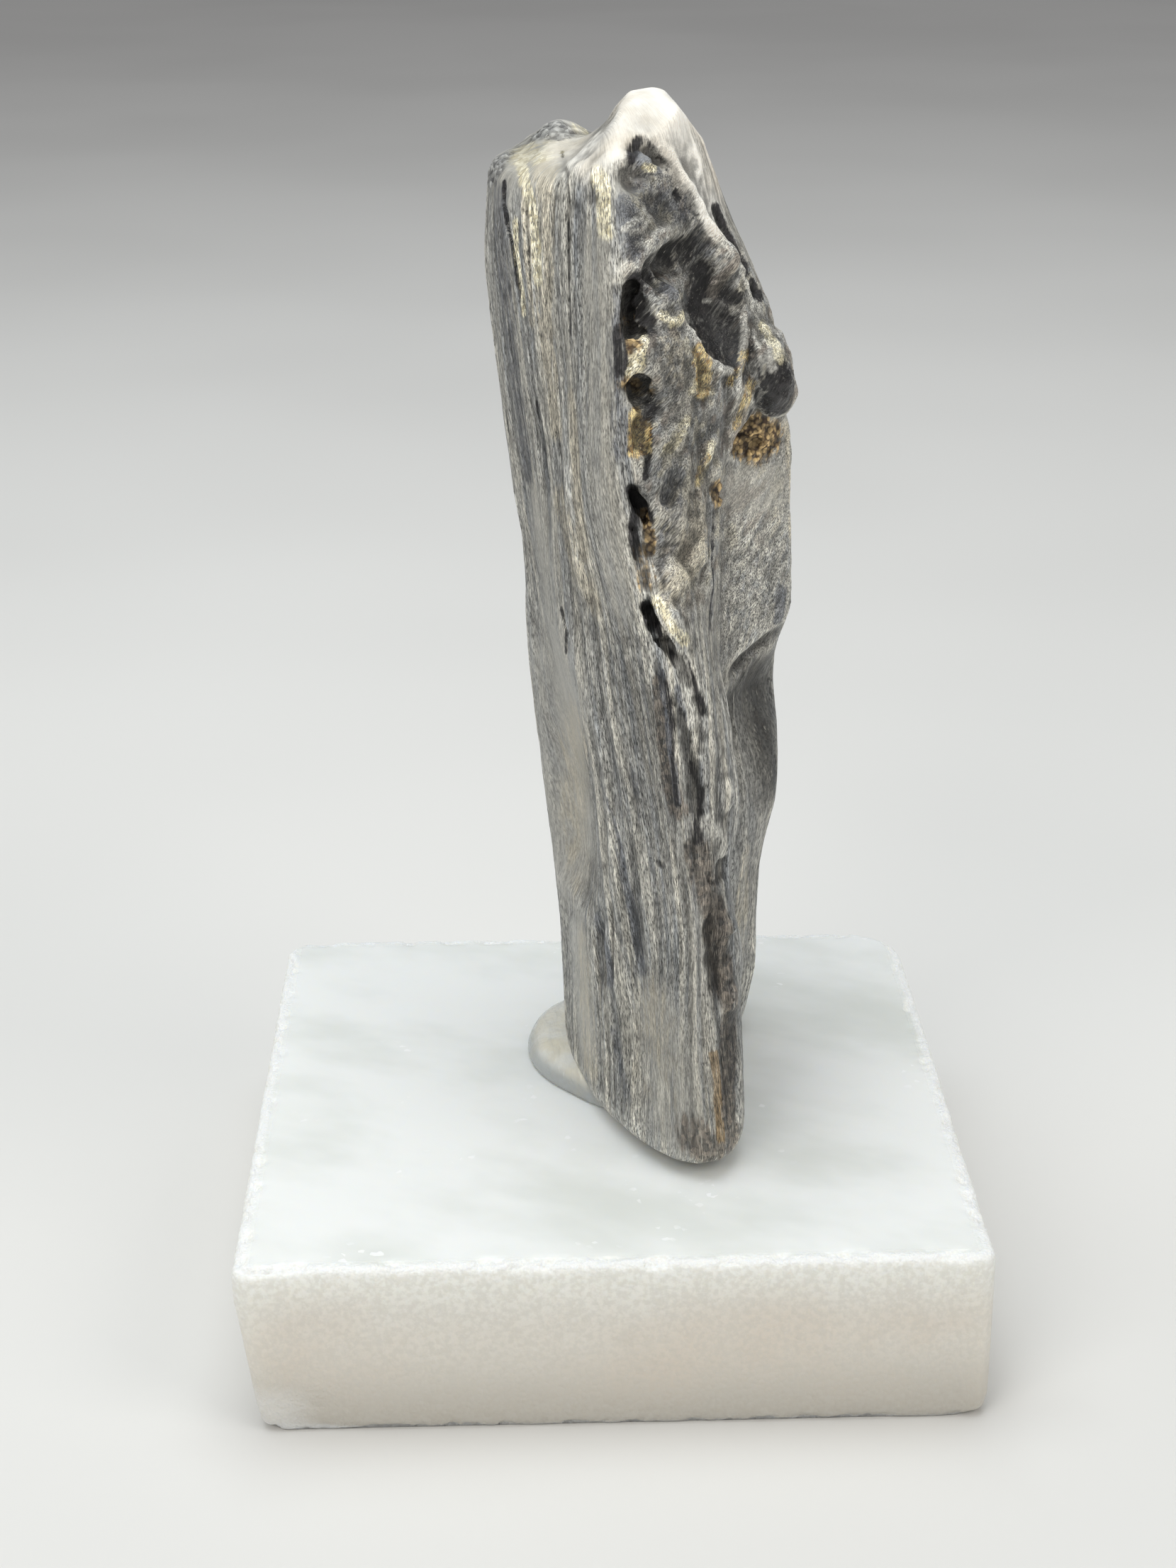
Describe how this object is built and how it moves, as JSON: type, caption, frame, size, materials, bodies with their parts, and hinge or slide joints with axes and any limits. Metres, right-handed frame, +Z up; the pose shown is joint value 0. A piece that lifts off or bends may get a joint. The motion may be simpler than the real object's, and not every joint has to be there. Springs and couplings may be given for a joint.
{
  "type": "petrified wood on stand",
  "caption": "Upright weathered piece of grey petrified wood with ridges, pits and a split, glued on a square white marble block that stands flat as a display base.",
  "frame": {"origin": "middle of the marble block's underside, on the surface it stands on", "axes": "+Z up along the wood, +Y to the back, +X to the right as seen from the front, with the block's sides along X and Y"},
  "size_m": [0.1016, 0.1016, 0.1694],
  "materials": {
    "marble": "white translucent marble, polished on top, sawn and honed on the sides, with crystalline worn edges",
    "petrified_wood": "grey silicified wood with fine cream and dark grain streaks, satin where worn smooth, brown clay in its pits",
    "clear_glue": "clear set glue, slightly milky, glossy"
  },
  "bodies": {
    "root": {"marble_base": "marble", "petrified_wood": "petrified_wood", "clear_glue": "clear_glue"}
  },
  "joints": []
}
